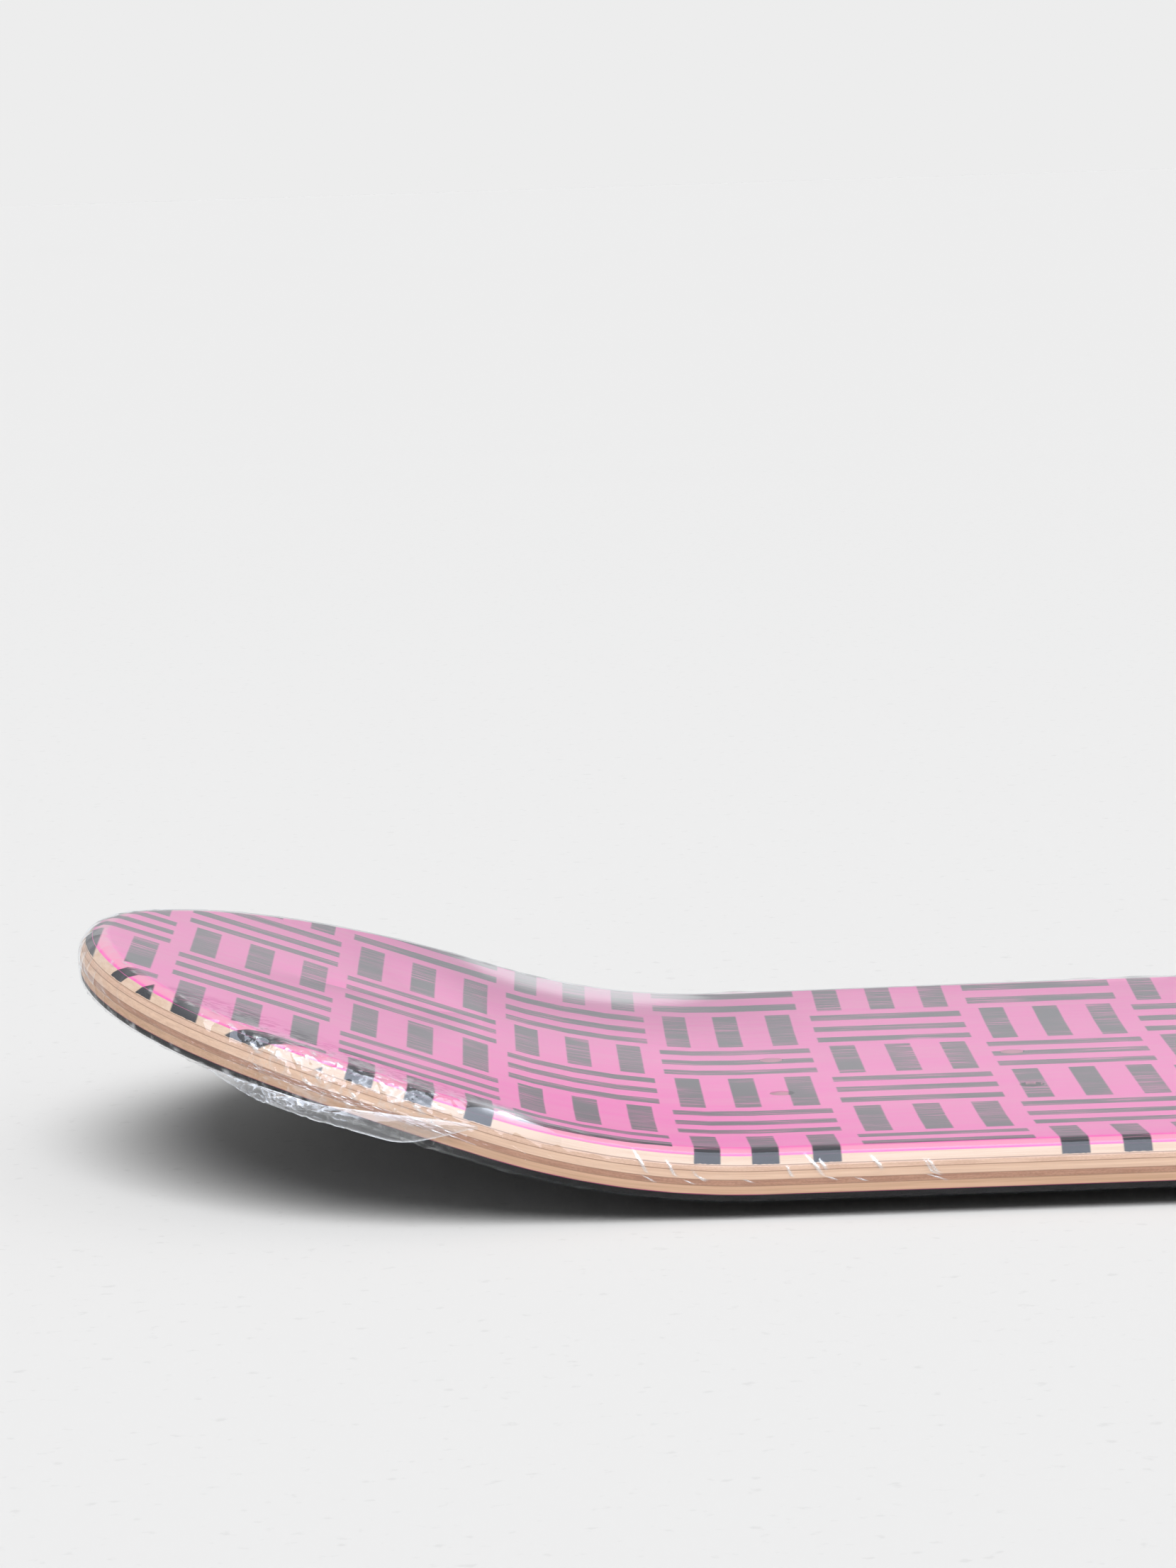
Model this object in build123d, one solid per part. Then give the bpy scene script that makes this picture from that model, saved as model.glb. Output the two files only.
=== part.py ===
from build123d import *
import os
from math import acos, asin, atan2, cos, degrees, hypot, pi, radians, sin, sqrt, tan

# A pressed seven-ply skateboard deck in clear shrink film, lying on its belly.
# Millimetres, +Z up, X along the deck with the tail at -X, origin under the middle of the plan.

# Plan
deck_width = 206.0          # across the rails, half way along
wheelbase = 368.3           # between the inner rows of bolt holes
tail_length = 151.0         # outer bolt holes to the tail tip
nose_length = 164.0         # outer bolt holes to the nose tip
side_bow = 3.0              # how far a side draws in from mid length to a shoulder
shoulder_setback = 87.0     # from a tip back to where a side turns into a shoulder
tip_spread = 9.0            # of a tip's arc, in radius over half the width

# Truck bolt holes, four at each end
bolt_row_length = 53.98
bolt_row_width = 41.28
bolt_hole_diameter = 5.4

# Veneers
face_veneer = 1.5
core_veneer = 1.75
crossband = 1.2
belly_veneer = 1.4

# Pressed shape
kick_angle = 19.4
kick_radius = 164.0         # of the top face in a bend
kick_start = 8.0            # from the outer bolt holes to the start of a bend
flat_width = 72.0           # of the level strip along the middle
concave_rise = 3.6          # of the rails above the level strip

# Rounding of the rails
top_rounding = 5.0
belly_land = 0.2            # upright rim left on the belly veneer below the next one

# Shrink film
film_thickness = 0.4
film_gap = 0.1              # between the film and the wood
film_lift = 1.2             # of the film above the top face at a tip
film_seam = 2.0             # of the seam on the rails above the rounding of the belly edge

# Loose ear of film on the -Y side of the tail
ear_start = 38.0            # from the tail tip
ear_end = 86.0              # from the tail tip
ear_drop = 5.8              # below the film's seam
ear_flare = 2.4             # of a pleat out from the rail
ear_thickness = 0.5
ear_pleats = 7

# Layup from the belly up
veneers = [
    ("bottom_face_veneer", belly_veneer),
    ("lower_core_veneer", core_veneer),
    ("lower_crossband", crossband),
    ("centre_core_veneer", core_veneer),
    ("upper_crossband", crossband),
    ("upper_core_veneer", core_veneer),
    ("top_face_veneer", face_veneer),
]
deck_thickness = sum(thickness for name, thickness in veneers)

# Places along X
deck_length = tail_length + nose_length + wheelbase + 2 * bolt_row_length
tip_x = deck_length / 2
shoulder_x = tip_x - shoulder_setback
tip_radius = deck_width / 2 + tip_spread
tail_bolts_x = tail_length - tip_x
nose_bolts_x = tip_x - nose_length
bolt_columns_x = [
    tail_bolts_x,
    tail_bolts_x + bolt_row_length,
    nose_bolts_x - bolt_row_length,
    nose_bolts_x,
]
tail_bend_x = tail_bolts_x - kick_start
nose_bend_x = nose_bolts_x + kick_start

# Heights and radii of the pressed shape
belly_z = film_gap + film_thickness
bend_radius = kick_radius + deck_thickness
bend_axis_z = belly_z + bend_radius
kick = radians(kick_angle)
flat_half = flat_width / 2
rail_reach = deck_width / 2 - flat_half
concave_radius = (rail_reach**2 + concave_rise**2) / (2 * concave_rise)
belly_rounding = belly_veneer - belly_land
seam_height = belly_rounding + film_seam

# Room to spare on bodies that are trimmed later
trim = 6.0
deep = 200.0
concave_sweep = degrees(asin((rail_reach + trim) / (concave_radius - deck_thickness)))
kick_reach = deck_length / 2


def rise_at(half_width):
    """Height of the concave above the level strip, at a distance from the middle line."""
    run = max(0.0, half_width - flat_half)
    return concave_radius - sqrt(concave_radius**2 - run**2)


def layer_section(low, high):
    """Cross-section of one pressed layer between two heights above the belly."""
    edges = [Line((-flat_half, height), (flat_half, height)) for height in (low, high)]
    for side in (1, -1):
        centre = (side * flat_half, concave_radius)
        under = CenterArc(centre, concave_radius - low, -90, side * concave_sweep)
        over = CenterArc(centre, concave_radius - high, -90, side * concave_sweep)
        edges += [under, over, Line(under @ 1, over @ 1)]
    return make_face(edges)


def pressed_layer(low, high):
    """One layer, wider and longer than the plan: a level middle, two bends and two kicks."""
    start = Plane(origin=(tail_bend_x, 0, belly_z), x_dir=(0, 1, 0), z_dir=(1, 0, 0))
    section = start * layer_section(low, high)
    layer = extrude(section, amount=nose_bend_x - tail_bend_x)
    for side, bend_x in ((-1, tail_bend_x), (1, nose_bend_x)):
        root = Pos(bend_x - tail_bend_x, 0, 0) * section
        axis = Axis((bend_x, 0, bend_axis_z), (0, -side, 0))
        layer += revolve(root, axis, kick_angle)
        uphill = (side * cos(kick), 0, sin(kick))
        layer += extrude(root.rotate(axis, kick_angle), amount=kick_reach, dir=uphill)
    return layer


def plan_quarter():
    """Edges of the plan from mid length to the nose tip on the +Y side: side, shoulder, tip."""
    shoulder_y = deck_width / 2 - side_bow
    side = TangentArc((0, deck_width / 2), (shoulder_x, shoulder_y), tangent=(1, 0))
    lean = -atan2((side % 1).Y, (side % 1).X)
    # The shoulder arc goes on from the side and touches the tip arc from inside.
    centre_x = tip_x - tip_radius
    run = centre_x - shoulder_x
    slack = tip_radius - shoulder_y * cos(lean) + run * sin(lean)
    radius = (tip_radius**2 - run**2 - shoulder_y**2) / (2 * slack)
    toward = Vector(-run - radius * sin(lean), shoulder_y - radius * cos(lean))
    meeting = Vector(centre_x, 0) + toward.normalized() * tip_radius
    shoulder = TangentArc((shoulder_x, shoulder_y), meeting, tangent=side % 1)
    tip = TangentArc(meeting, (tip_x, 0), tangent=shoulder % 1)
    return [side, shoulder, tip]


def rail_at(setback):
    """Point on the edge of the plan's quarter, back from the tip, and the direction out of it."""
    x = tip_x - setback
    arc = next(edge for edge in plan_quarter() if x <= (edge @ 1).X)
    run = x - arc.arc_center.X
    reach = Vector(run, sqrt(arc.radius**2 - run**2))
    return arc.arc_center + reach, reach.normalized()


def plan_column(grow):
    """Upright column over the plan, grown outward."""
    quarter = plan_quarter()
    half = quarter + [mirror(edge, Plane.XZ) for edge in quarter]
    plan = make_face(half + [mirror(edge, Plane.YZ) for edge in half])
    if grow:
        plan = offset(plan, amount=grow)
    return extrude(plan, amount=deep, both=True)


def rounded(body, top_radius, belly_radius):
    """Round over the top and belly edges of a body with upright sides."""
    for up, radius in ((1, top_radius), (-1, belly_radius)):
        walls = [face for face in body.faces() if abs(face.normal_at().Z) < 0.1]
        skins = [face for face in body.faces() if up * face.normal_at().Z > 0.5]
        wall_edges = [edge for face in walls for edge in face.edges()]
        skin_edges = [edge for face in skins for edge in face.edges()]
        rim = [edge for edge in skin_edges if any(edge.is_same(other) for other in wall_edges)]
        body = fillet(rim, radius)
    return body


def kick_z(run, height):
    """Level of a kick, at a distance from the start of its bend and a height above its belly face."""
    radius = bend_radius - height
    return bend_axis_z - radius * cos(kick) + (run - radius * sin(kick)) * tan(kick)


def under_film(gap):
    """Everything under the stretched film: level over the rails, then bent and falling to each tip."""
    film_height = deck_thickness + rise_at(deck_width / 2 - top_rounding) + film_gap + gap
    radius = bend_radius - film_height
    edges = []
    tops = []
    for side, bend_x in ((-1, tail_bend_x), (1, nose_bend_x)):
        end_x = side * (tip_x + trim)
        run = side * (end_x - bend_x)
        end_z = kick_z(run, deck_thickness) + film_lift + gap
        span = hypot(run, bend_axis_z - end_z)
        angle = degrees(atan2(run, bend_axis_z - end_z) - acos(radius / span))
        bend = CenterArc((bend_x, bend_axis_z), radius, -90, side * angle)
        edges += [bend, Line(bend @ 1, (end_x, end_z)), Line((end_x, end_z), (end_x, -deep))]
        tops.append(bend @ 0)
    edges += [Line(*tops), Line((-tip_x - trim, -deep), (tip_x + trim, -deep))]
    profile = Plane.XZ * make_face(edges)
    return extrude(profile, amount=deck_width, both=True)


def wrap(gap):
    """The deck and the space under the stretched film, grown outward."""
    body = pressed_layer(-gap, deck_thickness + concave_rise + trim)
    body = body & plan_column(gap) & under_film(gap)
    return rounded(body, top_rounding + gap, belly_rounding + gap)


def bolt_holes():
    """The eight upright holes for the truck bolts."""
    spots = [(x, side * bolt_row_width / 2) for x in bolt_columns_x for side in (1, -1)]
    return Sketch() + [Pos(x, y) * Circle(bolt_hole_diameter / 2) for x, y in spots]


def film_ear():
    """Pleated ear of loose film along the shoulder of the tail, hanging from the seam."""
    film_face = 2 * film_gap + film_thickness
    sections = []
    folds = 2 * ear_pleats
    for fold in range(folds + 1):
        setback = ear_start + (ear_end - ear_start) * fold / folds
        rail, outward = rail_at(setback)
        seam_z = kick_z(rail.X + tail_bend_x, seam_height + rise_at(rail.Y))
        drop = ear_thickness + ear_drop * sin(pi * fold / folds)
        flare = ear_flare * (fold % 2)
        corners = []
        for out, z in ((0, 0), (ear_thickness, 0), (flare + ear_thickness, -drop), (flare, -drop)):
            spot = rail + outward * (film_face + out)
            corners.append((-spot.X, -spot.Y, seam_z + z))
        sections.append(make_face(Polyline(*corners, close=True)))
    return loft(sections, ruled=True)


# The whole block of wood, with its rails rounded and its bolt holes drilled
holes = extrude(bolt_holes(), amount=deep, both=True)
block = pressed_layer(0, deck_thickness) & plan_column(0)
block = rounded(block, top_rounding, belly_rounding) - holes

parts = {}

# The veneers, parted from the block one after the other from the belly up
rest = block
height = 0.0
for name, thickness in veneers[:-1]:
    height += thickness
    below = pressed_layer(-trim, height)
    parts[name] = rest & below
    rest = rest - below
parts[veneers[-1][0]] = rest

# The film, parted along its seam half way up the rails
outside = wrap(film_gap + film_thickness) - holes
inside = wrap(film_gap)
below_seam = pressed_layer(-trim, seam_height)
parts["lower_film"] = (outside & below_seam) - inside
parts["upper_film"] = (outside - below_seam) - inside
parts["tail_film_ear"] = film_ear()

os.makedirs("parts", exist_ok=True)
for name, part in parts.items():
    export_step(part, f"parts/{name}.step")
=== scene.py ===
from math import asin, atan2, cos, pi, radians, sin, tan

import bmesh
import bpy
import numpy as np
from mathutils import Matrix, Vector, noise


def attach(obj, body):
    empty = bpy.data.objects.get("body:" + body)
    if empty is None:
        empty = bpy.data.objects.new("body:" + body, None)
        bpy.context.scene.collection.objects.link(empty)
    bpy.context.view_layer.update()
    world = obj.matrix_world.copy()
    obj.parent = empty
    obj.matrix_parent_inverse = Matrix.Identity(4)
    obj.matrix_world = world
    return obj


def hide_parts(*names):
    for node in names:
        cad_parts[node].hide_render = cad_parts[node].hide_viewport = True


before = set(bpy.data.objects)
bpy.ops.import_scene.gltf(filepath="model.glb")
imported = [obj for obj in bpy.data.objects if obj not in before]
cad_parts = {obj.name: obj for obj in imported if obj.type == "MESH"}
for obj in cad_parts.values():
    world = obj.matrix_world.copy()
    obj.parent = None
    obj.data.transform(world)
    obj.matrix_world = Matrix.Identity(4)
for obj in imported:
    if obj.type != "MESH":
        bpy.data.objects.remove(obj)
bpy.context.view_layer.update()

# A printed seven-ply skateboard deck in clear shrink film, lying on its belly.
# Lengths are in millimetres, in the frame of the CAD; MM turns them into metres.
MM = 0.001

# Plan
DECK_WIDTH = 206.0          # across the rails, half way along
WHEELBASE = 368.3           # between the inner rows of bolt holes
BOLT_ROW = 53.98            # from an inner row of bolt holes to an outer one
TAIL_LENGTH = 151.0         # from the outer bolt holes to the tail tip
NOSE_LENGTH = 164.0         # from the outer bolt holes to the nose tip
TIP_X = (TAIL_LENGTH + NOSE_LENGTH + WHEELBASE + 2 * BOLT_ROW) / 2
SIDE_BOW = 3.0              # how far a side draws in from mid length to a shoulder
SHOULDER_SETBACK = 87.0     # from a tip back to where a side turns into a shoulder
TIP_SPREAD = 9.0            # of a tip's arc, in radius over half the width
TIP_RADIUS = DECK_WIDTH / 2 + TIP_SPREAD

# Veneers from the belly up
BELLY_VENEER = 1.4
CORE_VENEER = 1.75
CROSSBAND = 1.2
FACE_VENEER = 1.5
VENEERS = [
    ("bottom_face_veneer", BELLY_VENEER),
    ("lower_core_veneer", CORE_VENEER),
    ("lower_crossband", CROSSBAND),
    ("centre_core_veneer", CORE_VENEER),
    ("upper_crossband", CROSSBAND),
    ("upper_core_veneer", CORE_VENEER),
    ("top_face_veneer", FACE_VENEER),
]
DECK_THICKNESS = sum(thickness for name, thickness in VENEERS)

# Pressed shape
BELLY_Z = 0.5               # level of the belly face, with the CAD's film under it
KICK = radians(19.4)        # angle of a kick
KICK_START = 8.0            # from the outer bolt holes to the start of a bend
KICK_RADIUS = 164.0         # of the top face in a bend
BEND_RADIUS = KICK_RADIUS + DECK_THICKNESS
BEND_AXIS_Z = BELLY_Z + BEND_RADIUS
TAIL_BEND_X = TAIL_LENGTH - TIP_X - KICK_START
NOSE_BEND_X = TIP_X - NOSE_LENGTH + KICK_START
FLAT_HALF = 36.0            # half the width of the level strip along the middle
CONCAVE_RISE = 3.6          # of the rails above the level strip
RAIL_REACH = DECK_WIDTH / 2 - FLAT_HALF
CONCAVE_RADIUS = (RAIL_REACH**2 + CONCAVE_RISE**2) / (2 * CONCAVE_RISE)
TOP_ROUNDING = 5.0          # of the rails
BELLY_ROUNDING = 1.2

# Film
FILM_GAP = 0.3              # from the wood to the film
FILM_CROWN = 1.0            # of the stretched film over the middle
BRIDGE_CROWN = 3.6          # more, where it bridges a bend
BRIDGE_BEFORE = 4.0         # reach of that before the start of a bend
BRIDGE_AFTER = 62.0         # and after it
BRIDGE_FADE = 60.0
FOOT_DEPTH = 2.0            # of the belly edge's rounding below the seam
FOOT_ROUND = 2.0            # way counted round it
SEAM_HEIGHT = BELLY_ROUNDING + FOOT_DEPTH

# Mesh of the film
NEAR_STEP = 0.22            # along the -Y rail of the tail, where the folds are
FAR_STEP = 1.2              # along the +Y rail of the tail
PLAIN_STEP = 3.5            # elsewhere
FINE_X = 165.0              # from mid length; beyond it the mesh of the tail is fine
ANGLE_SLACK = 1e-9          # radians kept off the end of an arc, where the next one starts
MERGE_WITHIN = 0.0001       # points nearer than this become one
AXIS_DRAW = 0.35            # share of a tip's length that the middle line runs on into it
TOP_RINGS = 16
CREST_RINGS = 22
WALL_RINGS = 20
FOOT_RINGS = 5
BELLY_RINGS = 12

# Folds of the film, placed by x or by the run along the -Y rail from mid length to the tail,
# and by the way up over the rail from the seam
WALL_UP = 6.0               # the top of the upright part of a rail
CREST_UP = 14.0             # where the film leaves the rail
CREST_FADE = 3.0
CRUMPLE_X = (-364.0, -312.0)
CRUMPLE_FADE = 26.0
TAIL_X = (-400.0, -285.0)
TAIL_FADE = 30.0
CRUMPLES = [                # height, slant, length and breadth of the creases, seed
    (0.30, 1.4, 6.0, 2.8, 3.0),
    (0.20, -1.2, 3.6, 2.0, 7.0),
]
TAIL_FOLDS = (0.22, 0.8, 7.0, 8.0, 17.0)    # the same, for the broad folds all round the tail
CREASE_SHARPNESS = 2.6
CREASE_WHITENING_AND_GLINT = 0.3          # painted highlight and whitening along the crests of the crumpled film
LINE_POWER = 5.0            # narrows that painted highlight to the very crests

# Families of short folds; slant is the run per rise; the whiteness of each fold is a painted
# highlight
FOLD_TAPER = 0.5            # share of its width that a fold loses at its top and gains at its foot
DRAWN = dict(
    count=16, seed=5, run=(216.0, 278.0), level=(2.0, 9.0), half=(0.9, 3.4),
    slant=(0.5, 0.9), width=0.22, height=0.18, whitening_and_glint=0.85,
)
BLISTERS = dict(
    count=46, seed=11, run=(312.0, 362.0), level=(0.5, 12.5), half=(0.3, 0.8),
    slant=(0.8, 2.4), width=0.26, height=0.34, whitening_and_glint=0.95,
)
RIM_GLINTS = dict(
    count=26, seed=3, run=(290.0, 420.0), level=(10.5, 13.6), half=(0.2, 0.5),
    slant=(2.0, 5.0), width=0.34, height=0.25, whitening_and_glint=0.6,
)
FOOT_LINES = dict(
    count=30, seed=29, run=(345.0, 430.0), level=(-3.6, -1.6), half=(0.25, 0.6),
    slant=(2.0, 5.0), width=0.24, height=0.22, whitening_and_glint=0.5,
)
PUCKERS = [                 # side, x, up, half length, half width, height, painted highlight
    (-1, -304.0, 12.5, 7.0, 1.6, 0.9, 0.75),
    (-1, -366.0, 11.0, 5.0, 1.2, 0.5, 0.2),
    (1, -249.0, 12.5, 5.0, 1.6, 0.4, 0.5),
    (1, -166.0, 12.5, 4.0, 1.6, 0.35, 0.3),
    (1, -153.0, 12.0, 5.0, 1.6, 0.4, 0.5),
]


# Shape of the deck


def rise_at(y):
    """Height of the concave above the level strip."""
    run = np.maximum(0.0, np.abs(y) - FLAT_HALF)
    return CONCAVE_RADIUS - np.sqrt(CONCAVE_RADIUS**2 - run**2)


def bent_z(run, radius, angle):
    """Level of a surface that is flat, then bent about a bend's axis, then straight."""
    run = np.maximum(run, 0.0)
    turn = radius * sin(angle)
    bend = BEND_AXIS_Z - np.sqrt(radius**2 - np.minimum(run, turn) ** 2)
    return bend + np.maximum(run - turn, 0.0) * tan(angle)


def wood_z(x, y, height):
    """Level of the pressed wood at a height above its belly face."""
    run = np.maximum(TAIL_BEND_X - x, x - NOSE_BEND_X)
    return bent_z(run, BEND_RADIUS - height - rise_at(y), KICK)


def plan_arcs():
    """Centre, radius, first and last outward angle of the arcs of the plan's +X +Y quarter."""
    shoulder_x = TIP_X - SHOULDER_SETBACK
    shoulder_y = DECK_WIDTH / 2 - SIDE_BOW
    side_radius = (shoulder_x**2 + SIDE_BOW**2) / (2 * SIDE_BOW)
    lean = asin(shoulder_x / side_radius)
    tip_centre = TIP_X - TIP_RADIUS
    run = tip_centre - shoulder_x
    slack = TIP_RADIUS - shoulder_y * cos(lean) + run * sin(lean)
    radius = (TIP_RADIUS**2 - run**2 - shoulder_y**2) / (2 * slack)
    centre_x = shoulder_x - radius * sin(lean)
    centre_y = shoulder_y - radius * cos(lean)
    meeting = atan2(centre_y, centre_x - tip_centre)
    return [
        ((0.0, DECK_WIDTH / 2 - side_radius), side_radius, pi / 2, pi / 2 - lean),
        ((centre_x, centre_y), radius, pi / 2 - lean, meeting),
        ((tip_centre, 0.0), TIP_RADIUS, meeting, 0.0),
    ]


def plan_quarter(fine_step):
    """Rows of x, y and outward direction from the middle of a side up to a tip."""
    rows = []
    for centre, radius, angle, last in plan_arcs():
        while angle > last + ANGLE_SLACK:
            x = centre[0] + radius * cos(angle)
            rows.append((x, centre[1] + radius * sin(angle), cos(angle), sin(angle)))
            step = fine_step if x > FINE_X else PLAIN_STEP
            angle -= step / radius
    rows.append((TIP_X, 0.0, 1.0, 0.0))
    return np.array(rows)


def plan_loop():
    """The whole edge of the plan: -Y side to the tail tip, +Y side to the nose tip and back."""
    near_tail = plan_quarter(NEAR_STEP) * (-1, -1, -1, -1)
    far_tail = (plan_quarter(FAR_STEP) * (-1, 1, -1, 1))[::-1]
    far_nose = plan_quarter(PLAIN_STEP)
    near_nose = (far_nose * (1, -1, 1, -1))[::-1]
    return np.concatenate([near_tail[:-1], far_tail[:-1], far_nose[:-1], near_nose[:-1]])


# Meshes


def mesh_piece(name, points, whitening_and_glint, faces, material):
    """A smooth mesh that carries the film's painted highlight and whitening at each point."""
    mesh = bpy.data.meshes.new(name)
    mesh.from_pydata((points * MM).tolist(), [], faces)
    mesh.attributes.new("whitening_and_glint", "FLOAT", "POINT").data.foreach_set("value", whitening_and_glint)
    shape = bmesh.new()
    shape.from_mesh(mesh)
    bmesh.ops.remove_doubles(shape, verts=shape.verts, dist=MERGE_WITHIN * MM)
    shape.to_mesh(mesh)
    shape.free()
    mesh.shade_smooth()
    mesh.materials.append(material)
    piece = bpy.data.objects.new(name, mesh)
    bpy.context.scene.collection.objects.link(piece)
    return piece


def ring_faces(rings, columns, closed):
    """Quads between rings of points, outward for rings that run from the top down."""
    faces = []
    for ring in range(rings - 1):
        for column in range(columns if closed else columns - 1):
            beside = (column + 1) % columns
            a, b = ring * columns + column, ring * columns + beside
            faces.append((a, b, b + columns, a + columns))
    return faces


def ridges(along, up, slant, length, breadth, seed):
    """Sharp-crested creases, from 0 to 1, over points on the film round a rail."""
    value = [
        noise.noise(Vector(((a - slant * u) / length, u / breadth, seed)))
        for a, u in zip(along.tolist(), up.tolist())
    ]
    return np.maximum(0.0, 1.0 - CREASE_SHARPNESS * np.abs(value)) ** 2


def window(x, low, high, fade):
    """1 between two places, fading to 0 outside them."""
    inside = np.minimum(x - low, high - x) / fade + 0.5
    inside = np.clip(inside, 0.0, 1.0)
    return inside * inside * (3.0 - 2.0 * inside)


def short_folds(along, up, count, seed, run, level, half, slant, width, height, whitening_and_glint):
    """How far a family of short slanting folds, thin at the top, stands off, and the painted
    highlight along it.
    """
    rng = np.random.default_rng(seed)
    off = np.zeros_like(along)
    draws = [rng.uniform(*ends, count) for ends in (run, level, half, slant)]
    for middle_run, middle_up, reach, lean in zip(*draws):
        rise = (up - middle_up) / reach
        aside = (along - middle_run - lean * (up - middle_up)) / np.hypot(1.0, lean)
        taper = np.clip(1.0 - rise**2, 0.0, 1.0)
        breadth = width * (1.0 - FOLD_TAPER * np.clip(rise, -1.0, 1.0))
        off = np.maximum(off, taper * np.exp(-((aside / breadth) ** 2)))
    return height * off, whitening_and_glint * off


def creases(x, y, along, up):
    """How far the film stands off round the rails, and the painted highlight and whitening along
    its folds.
    """
    near = np.where(y < 0, 1.0, 0.0)
    crumple = window(x, *CRUMPLE_X, CRUMPLE_FADE) * near
    height, *folds = TAIL_FOLDS
    off = height * window(x, *TAIL_X, TAIL_FADE) * ridges(along, up, *folds)
    whitening_and_glint = np.zeros_like(x)
    # Painted highlight and whitening along the crests of the crumples
    for height, *folds in CRUMPLES:
        ridge = crumple * ridges(along, up, *folds)
        off += height * ridge
        whitening_and_glint = np.maximum(whitening_and_glint, CREASE_WHITENING_AND_GLINT * ridge**LINE_POWER)
    # pale is the painted highlight along each short fold
    for family in (DRAWN, BLISTERS, RIM_GLINTS, FOOT_LINES):
        fold, pale = short_folds(along, up, **family)
        off += near * fold
        whitening_and_glint = np.maximum(whitening_and_glint, near * pale)
    off *= np.clip((CREST_UP - up) / CREST_FADE, 0.0, 1.0)
    # Puckers of the film stand off; pale is the painted highlight on each
    for side, middle_x, middle_up, length, width, height, pale in PUCKERS:
        reach = ((x - middle_x) / length) ** 2 + ((up - middle_up) / width) ** 2
        pucker = (y * side > 0) * np.exp(-reach)
        off += height * pucker
        whitening_and_glint = np.maximum(whitening_and_glint, pale * pucker**2)
    return off, whitening_and_glint


def outward_slope(edge, out, height):
    """Slope of the pressed wood in the outward direction at the rails."""
    inner = edge - out
    return wood_z(*edge.T, height) - wood_z(*inner.T, height)


def film_rings():
    """Rings of points round the deck from the middle of the top to the middle of the belly.

    Each row holds a place and the film's painted highlight and whitening there. The second
    result is the number of rings down to the seam.
    """
    loop = plan_loop()
    edge, out = loop[:, :2], loop[:, 2:]
    x, y = edge.T
    along = np.cumsum(np.hypot(*np.diff(edge, axis=0, prepend=edge[:1]).T))
    clear = np.zeros_like(x)
    rings = []

    def rim(centre_z, radius, lean):
        """A ring on the film round an edge of the wood that is rounded to a radius."""
        reach = (radius + FILM_GAP) * np.cos(lean) - radius
        plan = edge + out * reach[:, None]
        return plan, centre_z + (radius + FILM_GAP) * np.sin(lean)

    def add(plan, z, lean, up):
        """One ring, pushed out by its creases along a direction that leans from out to up."""
        off, whitening_and_glint = creases(plan[:, 0], plan[:, 1], along, np.full_like(x, up))
        plan = plan + out * (off * np.cos(lean))[:, None]
        rings.append(np.column_stack([plan, z + off * np.sin(lean), whitening_and_glint]))

    # The top edge's rounding touches the sloping top face and the upright rail.
    slope = outward_slope(edge, out, DECK_THICKNESS)
    rounding_depth = TOP_ROUNDING * (slope + np.hypot(1.0, slope))
    top_centre = wood_z(x, y, DECK_THICKNESS) - rounding_depth
    kick_slope = outward_slope(edge * (1, 0), out * (1, 0), DECK_THICKNESS)
    top_lean = pi / 2 + np.arctan(kick_slope)
    crest, crest_z = rim(top_centre, TOP_ROUNDING, top_lean)

    # The film is stretched level across from crest to crest, with a crown.
    order = np.argsort(crest[:, 0])
    fold_x = TIP_X - SHOULDER_SETBACK
    into_tip = np.maximum(np.abs(x) - fold_x, 0.0)
    axis_x = np.sign(x) * (np.minimum(np.abs(x), fold_x) + AXIS_DRAW * into_tip)
    axis = np.column_stack([axis_x, clear])
    tail_bridge = window(x, TAIL_BEND_X - BRIDGE_AFTER, TAIL_BEND_X + BRIDGE_BEFORE, BRIDGE_FADE)
    nose_bridge = window(x, NOSE_BEND_X - BRIDGE_BEFORE, NOSE_BEND_X + BRIDGE_AFTER, BRIDGE_FADE)
    crown = FILM_CROWN + BRIDGE_CROWN * (tail_bridge + nose_bridge)
    crown = crown * (crest[:, 1] / (DECK_WIDTH / 2)) ** 2
    for t in np.linspace(1.0, 0.0, TOP_RINGS)[:-1]:
        plan = crest + (axis - crest) * t
        level = np.interp(plan[:, 0], crest[order, 0], crest_z[order])
        rings.append(np.column_stack([plan, level + crown * (1 - (1 - t) ** 2), clear]))
    for t in np.linspace(1.0, 0.0, CREST_RINGS):
        up = WALL_UP + (CREST_UP - WALL_UP) * t
        add(*rim(top_centre, TOP_ROUNDING, top_lean * t), top_lean * t, up)

    # Down the rails, round the belly edge and under the belly
    wall = edge + out * FILM_GAP
    seam = wood_z(x, y, SEAM_HEIGHT)
    for t in np.linspace(0.0, 1.0, WALL_RINGS)[1:]:
        add(wall, top_centre + (seam - top_centre) * t, clear, WALL_UP * (1 - t))
    seam_ring = len(rings)
    slope = outward_slope(edge, out, 0.0)
    rounding_depth = BELLY_ROUNDING * (np.hypot(1.0, slope) - slope)
    foot_centre = wood_z(x, y, 0.0) + rounding_depth
    for t in np.linspace(0.0, 1.0, FOOT_RINGS)[1:]:
        add(wall, seam + (foot_centre - seam) * t, clear, -FOOT_DEPTH * t)
    foot_lean = np.arctan(slope) - pi / 2
    for t in np.linspace(0.0, 1.0, FOOT_RINGS)[1:]:
        foot, foot_z = rim(foot_centre, BELLY_ROUNDING, foot_lean * t)
        add(foot, foot_z, foot_lean * t, -FOOT_DEPTH - FOOT_ROUND * t)
    for t in np.linspace(0.0, 1.0, BELLY_RINGS)[1:]:
        plan = foot + (axis - foot) * t
        rings.append(np.column_stack([plan, wood_z(*plan.T, -FILM_GAP), clear]))
    return rings, seam_ring


# Materials

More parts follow.
